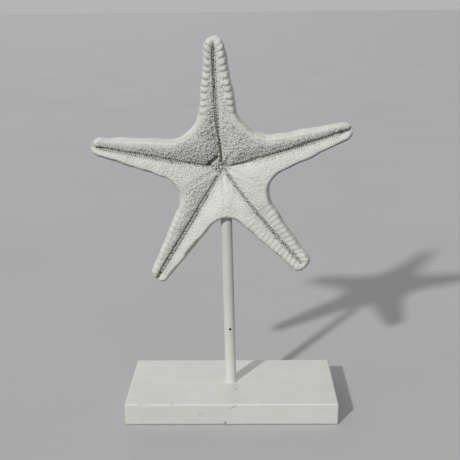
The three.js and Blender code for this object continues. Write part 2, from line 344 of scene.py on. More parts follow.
# The skin's five panels, counted from the one between the right and the top arm: how far its granules stand
# out, the painted shade in the gaps between them, and the share of the way to the rim over which it climbs
PANELS = (
    dict(relief=1.0, gap_painted_shade=0.62, climb=0.82),
    dict(relief=1.0, gap_painted_shade=0.68, climb=0.88),
    dict(relief=0.85, gap_painted_shade=0.2, climb=0.95),
    dict(relief=0.6, gap_painted_shade=0.05, climb=1.15),
    dict(relief=0.65, gap_painted_shade=0.15, climb=1.0),
)
ROOT_REACH = 48.0
ROOT_HALF_WIDTH = 15.3
TIP_HALF_WIDTH = 8.0
CROTCH_HANDLE = 12.5
MOUTH_RADIUS = 4.5
MOUTH_DEPTH = 0.5
# Dust and painted shade in the mouth's pit
MOUTH_DUST_AND_PAINTED_SHADE = 0.12
# Heights towards the viewer from the plane of the widest outline: at the mouth, at the arm's root, at its tip
FLOOR = (-5.0, 3.6, 2.4)
CREST = (8.0, 8.0, 4.6)
BACK = (15.0, 11.0, 4.5)
RIM = (3.4, 3.2, 2.8)
RIM_SHARE = 0.45
RIM_POWER = 1.25
BACK_POWER = 2 / 3
# The groove is a trough with steep walls that widens along the arm and narrows again before its end
TROUGH_STARTS = (5.0, 8.0)
TROUGH_WALL = (0.7, 1.15)
TROUGH_WIDENS = (14.0, 40.0)
TROUGH_NARROWS = (5.0, 13.0)
TROUGH_END_SHARE = 0.45
TROUGH_OUTER_SHARE = 0.75
# Dust and painted shade darken the groove's trough, standing partly for the shadow along its walls.
TROUGH_DUST_AND_PAINTED_SHADE = 0.34
TIP_RIDGE_SHARE = 0.3
# The plates: where along an arm they start, where across it they end, how far their joints bow and sink, and
# how low they are at the outline
PLATE_FADE = (30.0, 52.0)
PLATE_EDGE = (0.85, 1.05)
PLATE_BOW = 0.7
PLATE_RISE = 0.4
PLATE_AT_OUTLINE = 0.3
OUTLINE_BAND = 3.0
PLATE_UNEVEN = 0.05
PLATE_UNEVEN_TURN = 2.4
# The swell of the whole skin, the lengths of its waves, and its greater share in a band along the outline
SWELL = 0.22
SWELL_LENGTHS = (11, 14, 19, 26)
SWELL_REPEATS = 3
EDGE_SWELL_SHARE = 1.8
EDGE_SWELL_BAND = 5.0
SMOOTHING = 30
# Columns of points for each half of an arm, and the steps of one rib from the groove to the ridge of the back
TIP_COLUMNS = 18
EDGE_COLUMNS = 68
CROTCH_COLUMNS = 35
MOUTH_COLUMNS = 6
GROOVE_STEPS = np.array((0, 0.4, 0.75, 1.05, 1.35, 1.65, 1.95, 2.25, 2.6, 3.1))
GROOVE_FLANK_SHARE = 0.4
FLANK_STEPS = 24
FLANK_CROWDING = 1.4
RIM_TURNS = np.radians((12, 22, 32, 42, 52, 61, 69, 77, 84, 90))
BACK_TURNS = np.radians((3, 8, 14, 21, 28, 36, 44, 52, 60, 67, 74, 79, 83, 86, 88, 89.3, 90))
# The first steps of a rib after the flank and after the rim, and the steps between which the rim's band lies
FLANK_END = len(GROOVE_STEPS) + FLANK_STEPS
RIM_END = FLANK_END + len(RIM_TURNS)
FRONT_RING = FLANK_END + 4
BACK_RING = RIM_END + 5

random = np.random.default_rng(5)


def mix(start, end, share):
    """The value that lies this share of the way from start to end."""
    return start + (end - start) * share


def smooth_step(value, low, high):
    """From 0 to 1 as the value goes from low to high, with a soft start and end."""
    share = np.clip((value - low) / (high - low), 0, 1)
    return share * share * (3 - 2 * share)


def arm_point(arm, reach, beside):
    """Points of the star's plane, by their reach along an arm and their place beside its axis."""
    angle = math.radians(arm["angle"])
    sideways = beside + arm["bow"] * np.sin(np.pi * reach / arm["length"])
    across = reach * np.cos(angle) - sideways * np.sin(angle)
    up = reach * np.sin(angle) + sideways * np.cos(angle)
    return np.stack([across, up], -1)


def half_width(arm, reach):
    """Half the width of an arm from its root to where its round end begins."""
    share = (reach - ROOT_REACH) / (arm["length"] - arm["tip"] - ROOT_REACH)
    return mix(ROOT_HALF_WIDTH, TIP_HALF_WIDTH, share)


def groove_half_width(arm, reach):
    """Half the width of an arm's groove."""
    before_end = smooth_step(arm["length"] - reach, *TROUGH_NARROWS)
    wide = mix(arm["gape"], arm["wide"], smooth_step(reach, *TROUGH_WIDENS))
    return wide * mix(TROUGH_END_SHARE, 1, before_end)


def groove_shift(arm, reach):
    """How far the middle of an arm's groove lies beside the arm's axis."""
    return arm["shift"] * smooth_step(reach, *TROUGH_WIDENS)


def crotch_edge(arm, side, neighbour, share):
    """The round outline between two arms, counted from the first one's root."""
    ends = []
    for one, way in ((arm, side), (neighbour, -side)):
        root = arm_point(one, ROOT_REACH, way * half_width(one, ROOT_REACH))
        inward = arm_point(one, ROOT_REACH - 1, way * half_width(one, ROOT_REACH - 1)) - root
        ends.append((root, root + inward / np.linalg.norm(inward) * CROTCH_HANDLE))
    (start, leave), (end, arrive) = ends
    s = share[:, None]
    return (1 - s) ** 3 * start + 3 * (1 - s) ** 2 * s * leave + 3 * (1 - s) * s ** 2 * arrive + s ** 3 * end


def half_sector(index, side):
    """Columns from an arm's tip along one edge to the middle of the crotch. Each pairs a point of the outline
    with the points of the front's groove and the back's ridge that face it."""
    arm = ARMS[index]
    neighbour = ARMS[(index + side) % len(ARMS)]
    tip_start = arm["length"] - arm["tip"]
    share = np.arange(TIP_COLUMNS) / TIP_COLUMNS
    turn = share * np.pi / 2
    edge = [arm_point(arm, tip_start + arm["tip"] * np.cos(turn), side * TIP_HALF_WIDTH * np.sin(turn))]
    reach = [arm["length"] - arm["tip"] * share - arm["shut"]]
    ridge = [arm_point(arm, tip_start + arm["tip"] * TIP_RIDGE_SHARE * (1 - share), 0)]
    fullness = [np.sin(turn)]

    share = np.arange(EDGE_COLUMNS) / EDGE_COLUMNS
    edge_reach = mix(tip_start, ROOT_REACH, share)
    edge.append(arm_point(arm, edge_reach, side * half_width(arm, edge_reach)))
    reach.append(mix(tip_start - arm["shut"], ROOT_REACH, share))
    ridge.append(arm_point(arm, edge_reach, 0))

    share = np.arange(CROTCH_COLUMNS) / (CROTCH_COLUMNS - 1)
    axis_share = 0.5 * CROTCH_COLUMNS / (CROTCH_COLUMNS + MOUTH_COLUMNS)
    edge.append(crotch_edge(arm, side, neighbour, axis_share * share))
    reach.append(mix(ROOT_REACH, MOUTH_RADIUS, share))
    ridge.append(arm_point(arm, reach[-1], 0))
    groove = np.concatenate(reach)
    trough = [groove_half_width(arm, groove), np.full(MOUTH_COLUMNS, arm["gape"])]
    groove = arm_point(arm, groove, groove_shift(arm, groove))

    share = (np.arange(MOUTH_COLUMNS) + 1) / MOUTH_COLUMNS
    between = math.radians((side * (neighbour["angle"] - arm["angle"])) % 360)
    angle = math.radians(arm["angle"]) + side * between / 2 * share
    mouth = MOUTH_RADIUS * np.stack([np.cos(angle), np.sin(angle)], -1)
    edge.append(crotch_edge(arm, side, neighbour, mix(axis_share, 0.5, share)))
    reach.append(np.full(MOUTH_COLUMNS, MOUTH_RADIUS))

    edge = np.concatenate(edge)
    columns = dict(edge=edge, groove=np.concatenate([groove, mouth]), ridge=np.concatenate([*ridge, mouth]),
                   reach=np.concatenate(reach), trough=np.concatenate(trough),
                   fullness=np.concatenate([*fullness, np.ones(len(edge) - TIP_COLUMNS)]),
                   along=np.append(0, np.cumsum(np.linalg.norm(np.diff(edge, axis=0), axis=1))))
    panel = PANELS[index if side > 0 else index - 1]
    settings = dict(length=arm["length"], lift=arm["lift"], deep=arm["deep"], climb=panel["climb"],
                    plate=arm["plates"][0 if side > 0 else 1],
                    sharp=arm["sharp"], joint_painted_shade=arm["joint_painted_shade"], pitch=arm["pitch"], width=arm["width"])
    for name, value in settings.items():
        columns[name] = np.full(len(edge), value)
    return columns


def star_columns():
    """All columns once round the star, by name. The half that ends at the next arm's tip runs backwards."""
    parts = []
    for index in range(len(ARMS)):
        parts.append(half_sector(index, 1))
        back = half_sector((index + 1) % len(ARMS), -1)
        parts.append({name: values[1:-1][::-1] for name, values in back.items()})
    return {name: np.concatenate([part[name] for part in parts]) for name in parts[0]}


def swell(points):
    """A slow uneven rise and fall over the surface, between about -1 and 1."""
    waves = np.random.default_rng(11)
    total = np.zeros(points.shape[:-1])
    for length in SWELL_LENGTHS:
        for repeat in range(SWELL_REPEATS):
            direction = waves.standard_normal(3)
            direction *= 2 * np.pi / length / np.linalg.norm(direction)
            total += np.sin(points @ direction + waves.uniform(0, 2 * np.pi))
    return total / SWELL_REPEATS


def star_point(plan, height, lift):
    """The object's own coordinates of a point of the star."""
    y = STAR_CENTRE[1] - height - lift + 0 * plan[..., 0]
    return np.stack([STAR_CENTRE[0] + plan[..., 0], y, STAR_CENTRE[2] + plan[..., 1]], -1)


# Knobs down the back: a row along each ridge, a row of smaller ones on either side of it, the sieve plate
# through which the living star drew in water, and a knob in the middle
KNOB_PITCH = 6.4
KNOB_START = 2.5 * KNOB_PITCH
KNOB_STOP = 8.0
KNOB_SIZE = (2.3, 1.5)
SIDE_KNOB_START = 4
SIDE_KNOB_SIZE = (1.6, 0.8)
SIDE_KNOB_SHARE = 0.45
SIEVE_PLACE, SIEVE_SIZE = (11.0, 9.0), (3.4, 1.2)
MIDDLE_KNOB = 1.3
CLOSING_SHARES = (0.75, 0.5, 0.25)
# The deep slot beside the mouth, by its ends in the star's plane; it is painted dark, painted shade for its
# shadowed inside
SLOT = ((-10.8, 3.6), (-4.2, 9.4))
SLOT_WALL = (0.8, 1.8)
SLOT_DEPTH = 9.0
SLOT_PAINTED_SHADE = 1.6
# The arms whose ends are split by their grooves, and how far each split turns sideways; then how far back a
# split starts, half its width, its depth and the painted shade in it, and its height
SPLIT_TIPS = {0: 0.0, 2: -1.6, 3: 0.0}
SPLIT = (8.5, 2.4, 3.2, 0.7)
SPLIT_HEIGHT = 1.6
# A chip off the lower left arm's edge, the hole in the middle of the mouth, the crack that joins it to the
# top arm's groove and two nibs under the left arm
# The last number of each mark darkens it; in the mouth's hole and its crack that darkening is painted shade.
STAR_MARKS = (
    ((-36.2, -8.5, 138.8), (-27.6, -8.5, 150.0), 2.8, 1.3, 0.15),
    ((-6.6, 1.0, 209.2), (-6.4, 1.0, 209.0), 1.6, 1.5, 1.0),
    ((-7.1, 0.0, 219.0), (-6.9, 1.2, 211.0), 1.1, 1.2, 0.9),
    ((-72.0, -6.5, 206.5), (-71.0, -6.5, 206.0), 1.5, -0.9, 0.0),
    ((-66.5, -7.0, 205.0), (-65.5, -7.0, 204.8), 1.3, -0.8, 0.0),
)


def knobs(plan):
    """How far the knobs lift the skin of the back at places of the star's plane."""
    groups = [([SIEVE_PLACE], *SIEVE_SIZE)]
    for arm in ARMS:
        reach = np.arange(KNOB_START, arm["length"] - KNOB_STOP, KNOB_PITCH)
        groups.append((arm_point(arm, reach, 0), *KNOB_SIZE))
        reach = reach[SIDE_KNOB_START:] - KNOB_PITCH / 2
        for side in (1, -1):
            beside = side * SIDE_KNOB_SHARE * half_width(arm, reach)
            groups.append((arm_point(arm, reach, beside), *SIDE_KNOB_SIZE))
    total = np.zeros(plan.shape[:-1])
    for centres, radius, height in groups:
        for centre in centres:
            away = np.linalg.norm(plan - centre, axis=-1) / radius
            total = np.maximum(total, height * np.exp(-away ** 3))
    return total


def towards_root(reach):
    """How far places along an arm are on their way from the mouth to the arm's root, from 0 to 1."""
    return np.sin(np.pi / 2 * np.clip((reach - MOUTH_RADIUS) / (ROOT_REACH - MOUTH_RADIUS), 0, 1))


def along_arm(column, heights):
    """A height that changes along the arm, from those at the mouth, at the arm's root and at its tip."""
    towards_tip = np.clip((column["reach"] - ROOT_REACH) / (column["length"] - ROOT_REACH), 0, 1)
    return mix(mix(heights[0], heights[1], towards_root(column["reach"])), heights[2], towards_tip)


def smooth_ribs(column):
    """The star's form with no plates, knobs or marks, as ribs side by side, each from the groove over the rim
    to the ridge of the back. It gives the points, their places in the star's plane, how far these lie inside
    the outline, and how much of the groove's depth each point of the flank has."""
    reach = column["reach"]
    floor = along_arm(column, FLOOR)
    crest = mix(floor, along_arm(column, CREST), column["fullness"])
    outwards = column["edge"] - column["groove"]
    span = np.linalg.norm(outwards, axis=2)
    outwards = outwards / span[..., None]
    rim = np.minimum(along_arm(column, RIM), span * RIM_SHARE)
    flank = span - rim

    near = GROOVE_STEPS * np.minimum(1, GROOVE_FLANK_SHARE * flank / GROOVE_STEPS[-1])
    far = mix(near[:, -1:], flank, ((np.arange(FLANK_STEPS) + 1) / FLANK_STEPS) ** FLANK_CROWDING)
    slope = np.concatenate([near, far], axis=1)
    climb = np.sin(np.clip(slope / flank / column["climb"], 0, 1) * np.pi / 2)
    slope_height = floor + (crest - floor) * climb / climb[:, -1:]
    for repeat in range(SMOOTHING):
        slope_height = (np.roll(slope_height, 1, 0) + 2 * slope_height + np.roll(slope_height, -1, 0)) / 4
    trough = 1 - smooth_step(slope / column["trough"], *TROUGH_WALL)
    trough = trough * smooth_step(reach, *TROUGH_STARTS)
    slope_height = slope_height - column["deep"] * mix(1, TROUGH_OUTER_SHARE, towards_root(reach)) * trough
    front = np.concatenate([slope, flank + rim * np.sin(RIM_TURNS) ** RIM_POWER], axis=1)
    rim_height = crest * np.cos(RIM_TURNS).clip(0) ** RIM_POWER

    back_outwards = column["edge"] - column["ridge"]
    back_span = np.linalg.norm(back_outwards, axis=2)
    back_outwards = back_outwards / back_span[..., None]
    behind = back_span * np.cos(BACK_TURNS).clip(0) ** BACK_POWER
    back_height = -along_arm(column, BACK) * np.sin(BACK_TURNS) ** BACK_POWER

    front_plan = column["groove"] + outwards * front[..., None]
    back_plan = column["ridge"] + back_outwards * behind[..., None]
    plan = np.concatenate([front_plan, back_plan], axis=1)
    height = np.concatenate([slope_height, rim_height, back_height], axis=1)
    points = star_point(plan, height, column["lift"] * (reach / column["length"]) ** 2)
    inside = np.concatenate([span - front, back_span - behind], axis=1)
    return points, plan, inside, trough


def plates(column, inside):
    """How high the plates along the edges are at each point of the ribs, and how near it is to a joint."""
    width = column["width"]
    height = 1 - smooth_step(inside, PLATE_EDGE[0] * width, PLATE_EDGE[1] * width)
    height = height * mix(PLATE_AT_OUTLINE, 1, smooth_step(inside, 0, OUTLINE_BAND))
    height = height * smooth_step(column["reach"], *PLATE_FADE) * column["fullness"] * column["plate"]
    bow = PLATE_BOW * np.sin(np.pi * np.clip(inside / width, 0, 1))
    count = 0.5 + (column["along"] - bow) / column["pitch"]
    count = count + PLATE_UNEVEN * np.sin(PLATE_UNEVEN_TURN * count + column["length"])
    joint = np.abs(2 * (count % 1) - 1) ** column["sharp"]
    return height, joint


def split_marks():
    """The marks that part the ends of some arms."""
    back, *size = SPLIT
    marks = []
    for number, aside in SPLIT_TIPS.items():
        arm = ARMS[number]
        ends = arm_point(arm, arm["length"] - np.array((back, 0)), arm["shift"] + np.array((0, aside)))
        marks.append((*star_point(ends, SPLIT_HEIGHT, arm["lift"]), *size))
    return marks


def star_skin(columns):
    """Points, normals, and dirt and painted shade of the ribs, with plates and knobs raised on them and marks
    pressed in.
    """
    column = {name: values[:, None] for name, values in columns.items()}
    points, plan, inside, trough = smooth_ribs(column)
    around = np.roll(points, -1, axis=0) - np.roll(points, 1, axis=0)
    normals = np.cross(np.gradient(points, axis=1), around)
    normals /= np.maximum(np.linalg.norm(normals, axis=-1), 1e-9)[..., None]
    normals[:, 0] = (0, -1, 0)
    normals[:, -1] = (0, 1, 0)

    plate, joint = plates(column, inside)
    relief = plate * (PLATE_RISE - joint)
    relief += SWELL * swell(points) * mix(EDGE_SWELL_SHARE, 1, smooth_step(inside, 0, EDGE_SWELL_BAND))
    relief[:, RIM_END:] += knobs(plan[:, RIM_END:])
    slot = (1 - smooth_step(away_from(plan, *SLOT), *SLOT_WALL)) * (normals[..., 1] < 0)
    depth, marked = marks_on(points, [*STAR_MARKS, *split_marks()])
    relief -= depth + SLOT_DEPTH * slot
    relief[:, 0] = 0
    # Plate joints are darkened with painted shade, set arm by arm and strongest on the top arm.
    dirt_and_painted_shade = column["joint_painted_shade"] * joint * plate
    # The groove's trough is darkened with dust and painted shade.
    dirt_and_painted_shade[:, :FLANK_END] += TROUGH_DUST_AND_PAINTED_SHADE * trough
    # The slot, the mouth's hole and crack, and the split ends are painted dark: painted shade.
    dirt_and_painted_shade = np.maximum(np.maximum(dirt_and_painted_shade, marked), SLOT_PAINTED_SHADE * slot)
    return points + normals * relief[..., None], normals, dirt_and_painted_shade


def closed_star(points, dirt_and_painted_shade, at_mouth):
    """Points, faces, and dirt and painted shade of the whole form. The ring of the mouth closes in a pit,
    that of the back in a knob."""
    index = np.arange(dirt_and_painted_shade.size).reshape(dirt_and_painted_shade.shape)
    faces = quads_of(np.concatenate([index, index[:1]]))
    points, dirt_and_painted_shade = points.reshape(-1, 3), dirt_and_painted_shade.reshape(-1)
    mouth_ring, back_ring = index[at_mouth, 0], index[at_mouth, -1]
    for ring, deepest, dust_and_painted_shade in ((mouth_ring, MOUTH_DEPTH, MOUTH_DUST_AND_PAINTED_SHADE), (back_ring, MIDDLE_KNOB, 0)):
        middle = points[ring].mean(axis=0)
        loop = ring
        for share in CLOSING_SHARES:
            inner = mix(middle, points[ring], share)
            inner[:, 1] += deepest * (1 - share ** 2)
            inner_loop = len(points) + np.arange(len(ring))
            points = np.concatenate([points, inner])
            faces = faces + quads_of(np.stack([np.append(one, one[0]) for one in (loop, inner_loop)]))
            loop = inner_loop
        points = np.concatenate([points, [middle + (0, deepest, 0)]])
        tip = len(points) - 1
        faces = faces + [[tip, a, b] for a, b in zip(loop, np.roll(loop, -1))]
        dirt_and_painted_shade = np.append(dirt_and_painted_shade, np.full(len(points) - len(dirt_and_painted_shade), dust_and_painted_shade))
    return points, faces, dirt_and_painted_shade


columns = star_columns()
skin, skin_normals, skin_dirt_and_painted_shade = star_skin(columns)
form_points, form_faces, form_dirt_and_painted_shade = closed_star(skin, skin_dirt_and_painted_shade, columns["reach"] == MOUTH_RADIUS)

# Skin: the star's hide is set with fine granules that touch each other, with rows of spines along each groove
# and pegs round the mouth. They grew with the star and were painted with it. Dust and painted shade darken
# the gaps between them.
# The spines in a groove and those on its lips: their pitch and the dust and painted shade round them. They
# stand only where the groove is wide enough. The lips are as many half widths of the groove off its middle
INNER_SPINES = (1.75, 0.8)
LIP_SPINES = (1.85, 0.3)
LIP_SPINE = (1.0, 0.85)
LIP_SHARE = 1.1
SPINES_FIT = (1.3, 1.5)
SPINE_START = 5.0
SPINE_STOP = 1.5
SPINE_STAGGER = 0.25
LOOSE_SPINES = 0.1
# Pegs crowd round the mouth: the middle of the crowd, its radius, their pitch, radius, height and the dust
# and painted shade round them
MOUTH_PEGS = dict(middle=(-3.6, 3.0), reach=4.6, pitch=2.3, radius=1.25, height=2.2, dust_and_painted_shade=0.6)
LOOSE_PEGS = 0.2
PEGS_OFF_SLOT = 1.5 * SLOT_WALL[1]
# Rows of the net along the slot beside the mouth: place beside its middle, and height
SLOT_ROWS = ((0, 0), (2.0, 0.6), (-2.0, 0.8))
SLOT_ROW_COUNT = 6
SLOT_SPINE_RADIUS = 1.0
SLOT_SPINE_DUST_AND_PAINTED_SHADE = 0.2
# Granules of the front and of the back: spacing along and across an arm, least distance, radius and height
FRONT_GRANULES = dict(along=2.1, across=1.95, least=1.4, radius=1.3, height=1.05)
BACK_GRANULES = dict(along=2.7, across=2.7, least=2.0, radius=1.6, height=0.5)
BACK_PANEL = dict(relief=1.0, gap_painted_shade=0.15)
# Where their rows start along an arm, where they start beside its groove's middle in half widths of the
# groove, and how far the longest row reaches
GRANULE_START = 6.0
FIRST_FRONT_GRANULE = 1.8
FIRST_BACK_GRANULE = 0.5
GRANULE_ROW_LENGTH = 36
# How high they stay on the plates, at the tips, along the arms and at the rim, and where these places begin
PLATE_GRANULE_SHARE = 0.1
PLATE_WEAR = 1.4
TIP_GRANULE_SHARE = 0.6
TIP_FADE = (14, 8)
ARM_GRANULE_SHARE = 0.8
ARM_FADE = (40, 70)
RIM_GRANULE_SHARE = 0.25
RIM_FADE = (0.5, 7.0)
UNEVEN_GRANULES = 0.15
LOOSE_GRANULES = 0.14
SEAM_OVERLAP = 1.1
# The low granules on the rim's band, and the least and greatest share of that height
RIM_GRANULE = 0.12
RIM_GRANULE_UNEVEN = (0.6, 1.4)
# Granules grow between the skin's own normal and straight out of the star's plane, nearer to the second
UPRIGHT = 2.5
# A granule higher than this is clean on top
CLEAN_HEIGHT = 0.1
# Each granule is a corner of the skin's net, and the sides of the net's triangles are cut into this many
FRONT_CUTS = 4
BACK_CUTS = 3
FROM_RING = 0.9
NEIGHBOURS = 3
RAY_START = 60.0
INSIDE_ONLY = 1
SAME_PLACE = 1e-6

star_form = BVHTree.FromPolygons(form_points.tolist(), form_faces)
face_dirt_and_painted_shade = np.array([form_dirt_and_painted_shade[face].mean() for face in form_faces])


def landed(plan, from_front):
    """Where straight lines at the star's front or back meet its form, with the outward normals and the dirt
    and painted shade there."""
    starts = star_point(plan, RAY_START if from_front else -RAY_START, 0)
    way = Vector((0, 1 if from_front else -1, 0))
    hits = [star_form.ray_cast(Vector(start), way) for start in starts]
    places = np.array([place for place, normal, face, distance in hits])
    normals = np.array([normal if normal.dot(way) < 0 else -normal for place, normal, face, distance in hits])
    return places, normals, face_dirt_and_painted_shade[[face for place, normal, face, distance in hits]]


def depth_inside(plan, ring):
    """How far places of the star's plane lie inside a closed outline, or -1 outside it."""
    inside = np.zeros(len(plan), bool)
    away = np.full(len(plan), np.inf)
    for start, end in zip(ring, np.roll(ring, -1, axis=0)):
        level = (start[1] > plan[:, 1]) != (end[1] > plan[:, 1])
        crossing = start[0] + (end[0] - start[0]) * (plan[:, 1] - start[1]) / (end[1] - start[1] + 1e-12)
        inside ^= level & (plan[:, 0] < crossing)
        away = np.minimum(away, away_from(plan, start, end))
    return np.where(inside, away, -1)


def seeds_at(places, radius, height, dust_and_painted_shade):
    """One row for each granule, spine or peg at these places: place, radius, height and the dust and painted
    shade round it.
    """
    same = np.ones(len(places))
    return np.column_stack([places, radius * same, height * same, dust_and_painted_shade * same])


def slot_spines():
    """The rows along the slot beside the mouth."""
    start, end = np.array(SLOT)
    along = end - start
    across = np.array((-along[1], along[0])) / np.linalg.norm(along)
    places = start + np.linspace(0, 1, SLOT_ROW_COUNT)[:, None] * along
    rows = [seeds_at(places + beside * across, SLOT_SPINE_RADIUS, height, SLOT_SPINE_DUST_AND_PAINTED_SHADE)
            for beside, height in SLOT_ROWS]
    return np.concatenate(rows)


def mouth_pegs():
    """The pegs that crowd round the mouth, clear of the slot."""
    crowd = MOUTH_PEGS
    steps = np.arange(-crowd["reach"], crowd["reach"], crowd["pitch"])
    pegs = np.stack(np.meshgrid(steps, steps), -1).reshape(-1, 2)
    pegs = pegs + LOOSE_PEGS * crowd["pitch"] * random.standard_normal(pegs.shape)
    pegs = pegs[np.linalg.norm(pegs, axis=1) < crowd["reach"]] + crowd["middle"]
    pegs = pegs[away_from(pegs, *SLOT) > PEGS_OFF_SLOT]
    return seeds_at(pegs, crowd["radius"], crowd["height"], crowd["dust_and_painted_shade"])


def groove_spines():
    """The spines in the grooves and on their lips."""
    rows = []
    for number, arm in enumerate(ARMS):
        end = arm["length"] - (SPLIT[0] if number in SPLIT_TIPS else arm["shut"] + SPINE_STOP)
        for beside, (radius, height), (pitch, dust_and_painted_shade) in (
                (arm["inner"], arm["spine"], INNER_SPINES), (LIP_SHARE, LIP_SPINE, LIP_SPINES)):
            for side in (1, -1):
                reach = np.arange(SPINE_START, end, pitch)
                loose = LOOSE_SPINES * pitch * random.standard_normal(len(reach))
                reach = reach + SPINE_STAGGER * pitch * side + loose
                room = groove_half_width(arm, reach)
                away = groove_shift(arm, reach) + side * beside * room
                uneven = 1 + UNEVEN_GRANULES * random.standard_normal(len(reach))
                heights = height * uneven * smooth_step(room, *SPINES_FIT)
                rows.append(seeds_at(arm_point(arm, reach, away), radius, heights, dust_and_painted_shade))
    return np.concatenate(rows)


def granule_rows(index, side, row_pitch, pitch, first):
    """Places in rows across one side of an arm, as far as the middle of the crotch, and how worn they are."""
    arm = ARMS[index]
    neighbour = ARMS[(index + side) % len(ARMS)]
    half_turn = math.radians((side * (neighbour["angle"] - arm["angle"])) % 360) / 2
    rows = np.arange(GRANULE_START, arm["length"], row_pitch)
    beside, reach = np.meshgrid(np.arange(0, GRANULE_ROW_LENGTH, pitch), rows)
    beside = beside + first * groove_half_width(arm, reach) + side * groove_shift(arm, reach)
    reach[:, ::2] += row_pitch / 2
    reach = reach + LOOSE_GRANULES * row_pitch * random.standard_normal(reach.shape)
    beside = beside + LOOSE_GRANULES * pitch * random.standard_normal(reach.shape)
    kept = beside * math.cos(half_turn) - reach * math.sin(half_turn) < SEAM_OVERLAP
    reach, beside = reach[kept], beside[kept]
    at_tip = smooth_step(reach, *(arm["length"] - before for before in TIP_FADE))
    plate_start = half_width(arm, np.maximum(reach, ROOT_REACH)) - arm["width"]
    on_plate = smooth_step(beside, plate_start - 1, plate_start + 1) * smooth_step(reach, *PLATE_FADE)
    on_plate = on_plate * (1 - at_tip) * min(1, PLATE_WEAR * arm["plates"][0 if side > 0 else 1])
    wear = mix(1, PLATE_GRANULE_SHARE, on_plate) * mix(1, TIP_GRANULE_SHARE, at_tip)
    wear = wear * mix(1, ARM_GRANULE_SHARE, smooth_step(reach, *ARM_FADE))
    return arm_point(arm, reach, side * beside), wear


def granules(sizes, first, panels):
    """The granules all over one face of the star."""
    rows = []
    for index in range(len(ARMS)):
        for side in (1, -1):
            places, wear = granule_rows(index, side, sizes["along"], sizes["across"], first)
            panel = panels[index if side > 0 else index - 1]
            uneven = 1 + UNEVEN_GRANULES * random.standard_normal(len(places))
            heights = sizes["height"] * panel["relief"] * wear * uneven
            rows.append(seeds_at(places, sizes["radius"], heights, panel["gap_painted_shade"] * wear))
    return np.concatenate(rows)


def uncrowded(plan, least):
    """Which places keep at least that distance from every place kept before them."""
    cells, kept = {}, np.zeros(len(plan), bool)
    for number, place in enumerate(plan):
        column, row = (int(value // least) for value in place)
        around = [cells.get((column + i, row + j), ()) for i in (-1, 0, 1) for j in (-1, 0, 1)]
        if all(math.dist(place, other) >= least for cell in around for other in cell):
            cells.setdefault((column, row), []).append(place)
            kept[number] = True
    return kept


def tree_of(places):
    """A tree for finding the nearest of some places of the star's plane."""
    tree = KDTree(len(places))
    for number, (x, z) in enumerate(places):
        tree.insert((x, z, 0), number)
    tree.balance()
    return tree


def flat_net(corners, places, cuts):
    """A net of triangles in the star's plane, inside a ring of corners and with a corner at each place. The
    sides of the triangles are cut into equal parts. It gives the points, the faces and which points are on
    the ring."""
    flat = [Vector(place) for place in np.concatenate([corners, places])]
    ring = list(range(len(corners)))
    spots, edges, triangles, *origins = delaunay_2d_cdt(flat, [], [ring], INSIDE_ONLY, SAME_PLACE)
    net = bmesh.new()
    verts = [net.verts.new((x, z, 0)) for x, z in spots]
    for triangle in triangles:
        net.faces.new([verts[corner] for corner in triangle])
    bmesh.ops.subdivide_edges(net, edges=net.edges, cuts=cuts - 1, use_grid_fill=True)
    net.verts.index_update()
    plan = np.array([vert.co[:2] for vert in net.verts])
    on_ring = np.array([vert.is_boundary for vert in net.verts])
    faces = [[vert.index for vert in face.verts] for face in net.faces]
    net.free()
    return plan, faces, on_ring


def skin_net(seeds, least, ring, cuts, from_front):
    """Points, faces, and dirt and painted shade of a fine net over one face of the star. It has a corner on
    every granule, follows the star's form, rises to a dome round each granule, and ends in the given ring of
    points."""
    corners = (ring - STAR_CENTRE)[::cuts, (0, 2)]
    depth = depth_inside(seeds[:, :2], corners)
    seeds, depth = seeds[depth > FROM_RING], depth[depth > FROM_RING]
    kept = uncrowded(seeds[:, :2], least)
    seeds, depth = seeds[kept], depth[kept]
    seeds[:, 3:] *= mix(RIM_GRANULE_SHARE, 1, smooth_step(depth, *RIM_FADE))[:, None]
    plan, faces, on_ring = flat_net(corners, seeds[:, :2], cuts)

    points, normals, dirt_and_painted_shade = landed(plan, from_front)
    tree = tree_of(seeds[:, :2])
    found = [tree.find_n((x, z, 0), NEIGHBOURS) for x, z in plan]
    around = seeds[[[number for place, number, distance in nearest] for nearest in found]]
    away = np.array([[distance for place, number, distance in nearest] for nearest in found])
    domes = np.clip(1 - (away / around[..., 2]) ** 2, 0, 1)
    lift = (domes * around[..., 3]).max(axis=1)
    outwards = normals + (0, -UPRIGHT if from_front else UPRIGHT, 0)
    outwards /= np.linalg.norm(outwards, axis=1)[:, None]
    points += outwards * lift[:, None]
    dome, nearest = domes[:, 0], around[:, 0]
    # The gaps between granules, spines and pegs are darkened with dust and painted shade; high granules stay
    # clean on top.
    dirt_and_painted_shade = dirt_and_painted_shade * (1 - dome * (nearest[:, 3] > CLEAN_HEIGHT)) + nearest[:, 4] * (1 - dome)
    sides = [mix(corners, np.roll(corners, -1, axis=0), part / cuts) for part in range(cuts)]
    ends = tree_of(np.stack(sides, axis=1).reshape(-1, 2))
    points[on_ring] = ring[[ends.find((x, z, 0))[1] for x, z in plan[on_ring]]]
    return points, faces, dirt_and_painted_shade


def rim_band():
    """Points, faces, and dirt and painted shade of the band round the rim, with low granules on it, between
    the two nets.
    """
    band = skin[:, FRONT_RING:BACK_RING + 1].copy()
    column, row = np.indices(band.shape[:2])
    raised = (row % 2 == 0) & ((column + 2 * (row // 2 % 2)) % 4 == 0) & (row > 0) & (row < band.shape[1] - 1)
    height = raised * RIM_GRANULE * random.uniform(*RIM_GRANULE_UNEVEN, raised.shape)
    band += skin_normals[:, FRONT_RING:BACK_RING + 1] * height[..., None]
    index = np.arange(height.size).reshape(height.shape)
    faces = quads_of(np.concatenate([index, index[:1]]))
    return band.reshape(-1, 3), faces, skin_dirt_and_painted_shade[:, FRONT_RING:BACK_RING + 1].reshape(-1)


